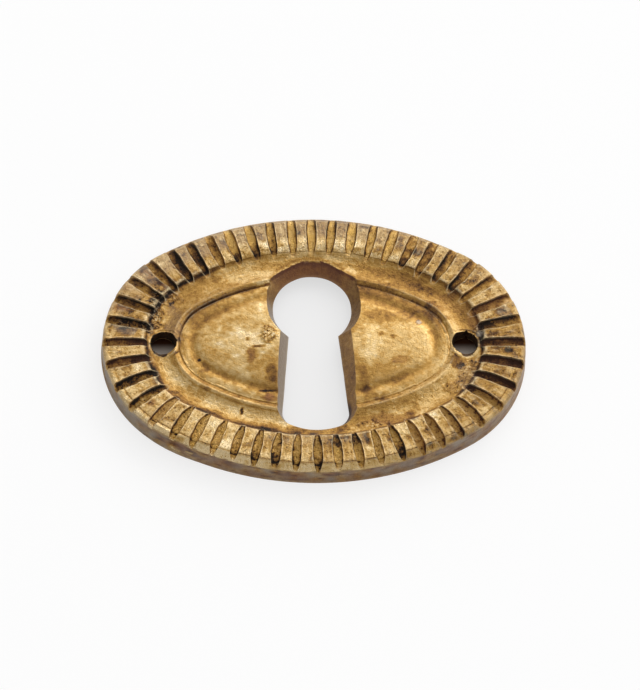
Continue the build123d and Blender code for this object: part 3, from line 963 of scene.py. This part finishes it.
ramp = nodes.new("ShaderNodeValToRGB")
joins.new(broken, ramp.inputs["Fac"])
while len(ramp.color_ramp.elements) < len(TONES):
    ramp.color_ramp.elements.new(0.5)
for stop, (position, colour) in zip(ramp.color_ramp.elements, TONES):
    stop.position = position
    stop.color = (*colour, 1)
# Colours laid over the tones, the rubbed gold last
kept_gilt = worked("MULTIPLY", attribute("gilt"), worked("MULTIPLY_ADD", broken, -2.0, 1.6))
colour = blend(kept_gilt, KEPT_GILT, ramp.outputs["Color"])
colour = blend(attribute("grey"), GREY_FILM_AND_REFLECTION, colour)
pale_specks = worked("MULTIPLY", crusted, worked("MULTIPLY_ADD", lumps, -5.0, 2.3))
colour = blend(pale_specks, PALE_SPECKS, colour)
colour = blend(attribute("red"), RED_TARNISH, colour)
rubbed = worked("MULTIPLY", attribute("wear"), worked("MULTIPLY_ADD", fine_grain, 2.4, -0.7))
colour = blend(rubbed, RUBBED_GOLD, colour)
joins.new(colour, shader.inputs["Base Color"])
# Dirt, and the painted shade with it, dulls the metal, and the grain stands out a little
dull = nodes.new("ShaderNodeClamp")
joins.new(broken, dull.inputs["Value"])
shader.inputs["Specular IOR Level"].default_value = 0.25
joins.new(worked("MULTIPLY_ADD", dull.outputs["Result"], -0.3, 1), shader.inputs["Metallic"])
joins.new(worked("MULTIPLY_ADD", dull.outputs["Result"], 0.34, 0.23), shader.inputs["Roughness"])
bump = nodes.new("ShaderNodeBump")
bump.inputs["Strength"].default_value = 0.8
bump.inputs["Distance"].default_value = 0.00016
relief = worked("MULTIPLY_ADD", speckle, 0.5, fine_grain)
relief = worked("MULTIPLY_ADD", streaks, 0.5, relief)
relief = worked("MULTIPLY_ADD", worked("MULTIPLY", lumps, -1.0), lumpy, relief)
relief = worked("MULTIPLY_ADD", pits, -0.25, relief)
joins.new(worked("MULTIPLY", relief, gritty), bump.inputs["Height"])
joins.new(bump.outputs["Normal"], shader.inputs["Normal"])
plate_data.materials.append(finish)
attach(plate, "root")
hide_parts("escutcheon")

# Floor
# A wide matt sheet of pale card that the plate lies on. To the camera it is mostly glow, so that little of
# the shadow shows. Inside the keyhole the glow is turned down as painted shade, and under the two nail holes
# the card is painted dark as shadow.
FLOOR_HALF = 1.2
CARD_COLOUR = (0.94, 0.94, 0.94, 1)
GLOW_COLOUR = (1.05, 1.05, 1.05, 1)
GLOW_SHARE = 0.7
KEYHOLE_REACH = 0.012
KEYHOLE_PAINTED_SHADE = 0.13
HOLE_REACH = 0.0026
HOLE_SHADOW_NEAR_COLOUR = (0.95, 0.84, 0.74, 1)
HOLE_SHADOW_FAR_COLOUR = (0.1, 0.037, 0.016, 1)
HOLE_SHADOW_START = 0.00025
HOLE_SHADOW_END = 0.0015
floor_mesh = bmesh.new()
bmesh.ops.create_grid(floor_mesh, x_segments=1, y_segments=1, size=FLOOR_HALF)
floor_data = bpy.data.meshes.new("floor")
floor_mesh.to_mesh(floor_data)
floor_mesh.free()
floor = bpy.data.objects.new("floor", floor_data)
bpy.context.scene.collection.objects.link(floor)
floor_paint = bpy.data.materials.new("pale_card")
floor_paint.use_nodes = True
card_tree = floor_paint.node_tree
card_nodes, card_joins = card_tree.nodes, card_tree.links
card = card_nodes["Principled BSDF"]
card.inputs["Roughness"].default_value = 1
card.inputs["Specular IOR Level"].default_value = 0
# Both nail holes are one place when the card is mirrored about its middle
vector_maths = {"node_type": "ShaderNodeVectorMath", "tree": card_tree}
card_place = card_nodes.new("ShaderNodeTexCoord").outputs["Object"]
mirrored = worked("ABSOLUTE", card_place, output="Vector", **vector_maths)
from_hole = worked("DISTANCE", mirrored, (nail_place * MILLIMETRE, 0, 0), **vector_maths)
clear = worked("GREATER_THAN", from_hole, HOLE_REACH, tree=card_tree)
seen = card_nodes.new("ShaderNodeLightPath").outputs["Is Camera Ray"]
glow_share = worked("MULTIPLY", seen, GLOW_SHARE, tree=card_tree)
lit = worked("MULTIPLY", glow_share, clear, tree=card_tree)
from_middle = worked("LENGTH", card_place, **vector_maths)
in_keyhole = worked("LESS_THAN", from_middle, KEYHOLE_REACH, tree=card_tree)
glow_level = worked("MULTIPLY_ADD", in_keyhole, -KEYHOLE_PAINTED_SHADE, 1, tree=card_tree)
glow = card_nodes.new("ShaderNodeEmission")
glow.inputs["Color"].default_value = GLOW_COLOUR
card_joins.new(glow_level, glow.inputs["Strength"])
card_mix = card_nodes.new("ShaderNodeMixShader")
card_joins.new(lit, card_mix.inputs["Fac"])
card_joins.new(card.outputs["BSDF"], card_mix.inputs[1])
card_joins.new(glow.outputs["Emission"], card_mix.inputs[2])
card_joins.new(card_mix.outputs["Shader"], card_nodes["Material Output"].inputs["Surface"])
# Under the holes the card is painted dark as shadow, to brown towards the far side, where less light comes in
card_depth = card_nodes.new("ShaderNodeSeparateXYZ")
card_joins.new(card_place, card_depth.inputs["Vector"])
hole_shadow_fade = smooth_range(card_depth.outputs["Y"], HOLE_SHADOW_START, HOLE_SHADOW_END, tree=card_tree)
hole_shadow_colour = blend(hole_shadow_fade, HOLE_SHADOW_FAR_COLOUR, HOLE_SHADOW_NEAR_COLOUR, card_tree)
card_joins.new(blend(clear, CARD_COLOUR, hole_shadow_colour, card_tree), card.inputs["Base Color"])
floor_data.materials.append(floor_paint)

# Light
# A pale room that is brighter beyond the plate and to the right than behind the camera, and a broad soft
# box at the back.
BRIGHT_WAY = (0.5, 0.86, 0)
BRIGHT_FROM, BRIGHT_TO = 0.0, 0.8
NEAR_SIDE, FAR_SIDE = 0.52, 1.4
SOFT_BOX_PLACE = (0.35, 0.5, 0.34)
SOFT_BOX_WIDTH, SOFT_BOX_HEIGHT = 0.7, 0.35
SOFT_BOX_POWER = 1.6
world = bpy.data.worlds.new("pale_room")
world.use_nodes = True
room_tree = world.node_tree
room_way = room_tree.nodes.new("ShaderNodeTexCoord").outputs["Generated"]
room_axis = worked("DOT_PRODUCT", room_way, BRIGHT_WAY, node_type="ShaderNodeVectorMath", tree=room_tree)
room_level = smooth_range(room_axis, BRIGHT_FROM, BRIGHT_TO, NEAR_SIDE, FAR_SIDE, room_tree)
room_light = room_tree.nodes["Background"]
room_light.inputs["Color"].default_value = (1, 1, 1, 1)
room_tree.links.new(room_level, room_light.inputs["Strength"])
bpy.context.scene.world = world
box_light = bpy.data.lights.new("soft_box", "AREA")
box_light.shape = "RECTANGLE"
box_light.size = SOFT_BOX_WIDTH
box_light.size_y = SOFT_BOX_HEIGHT
box_light.energy = SOFT_BOX_POWER
soft_box = bpy.data.objects.new("soft_box", box_light)
soft_box.location = SOFT_BOX_PLACE
soft_box.rotation_euler = (-Vector(SOFT_BOX_PLACE)).to_track_quat("-Z", "Y").to_euler()
bpy.context.scene.collection.objects.link(soft_box)

# Camera
# A long lens that looks down at the plate from the near side, a little from the left and turned
# slightly, so that the line of the nail holes is level in the picture.
IMAGE_WIDTH, IMAGE_HEIGHT = 640, 690
PIXELS_PER_MM = 10.11
CAMERA_AZIMUTH = radians(-5.25)
CAMERA_ELEVATION = radians(58.61)
CAMERA_ROLL = radians(-4.43)
CAMERA_DISTANCE = 0.948
ORIGIN_PIXEL = (313.4, 355.5)
toward = Vector((
    sin(CAMERA_AZIMUTH) * cos(CAMERA_ELEVATION),
    -cos(CAMERA_AZIMUTH) * cos(CAMERA_ELEVATION),
    sin(CAMERA_ELEVATION),
))
level_right = Vector((cos(CAMERA_AZIMUTH), sin(CAMERA_AZIMUTH), 0))
level_up = toward.cross(level_right)
right = level_right * cos(CAMERA_ROLL) - level_up * sin(CAMERA_ROLL)
up = level_right * sin(CAMERA_ROLL) + level_up * cos(CAMERA_ROLL)
aim = right * ((IMAGE_WIDTH / 2 - ORIGIN_PIXEL[0]) / PIXELS_PER_MM * MILLIMETRE)
aim += up * ((ORIGIN_PIXEL[1] - IMAGE_HEIGHT / 2) / PIXELS_PER_MM * MILLIMETRE)
lens = bpy.data.cameras.new("camera")
lens.sensor_width = 36
lens.lens = lens.sensor_width * CAMERA_DISTANCE / (IMAGE_HEIGHT / PIXELS_PER_MM * MILLIMETRE)
lens.clip_start = 0.01
lens.clip_end = 10
camera = bpy.data.objects.new("camera", lens)
turned = Matrix((right, up, toward)).transposed().to_4x4()
camera.matrix_world = Matrix.Translation(aim + toward * CAMERA_DISTANCE) @ turned
bpy.context.scene.collection.objects.link(camera)
bpy.context.scene.camera = camera
bpy.context.scene.view_settings.view_transform = "Standard"
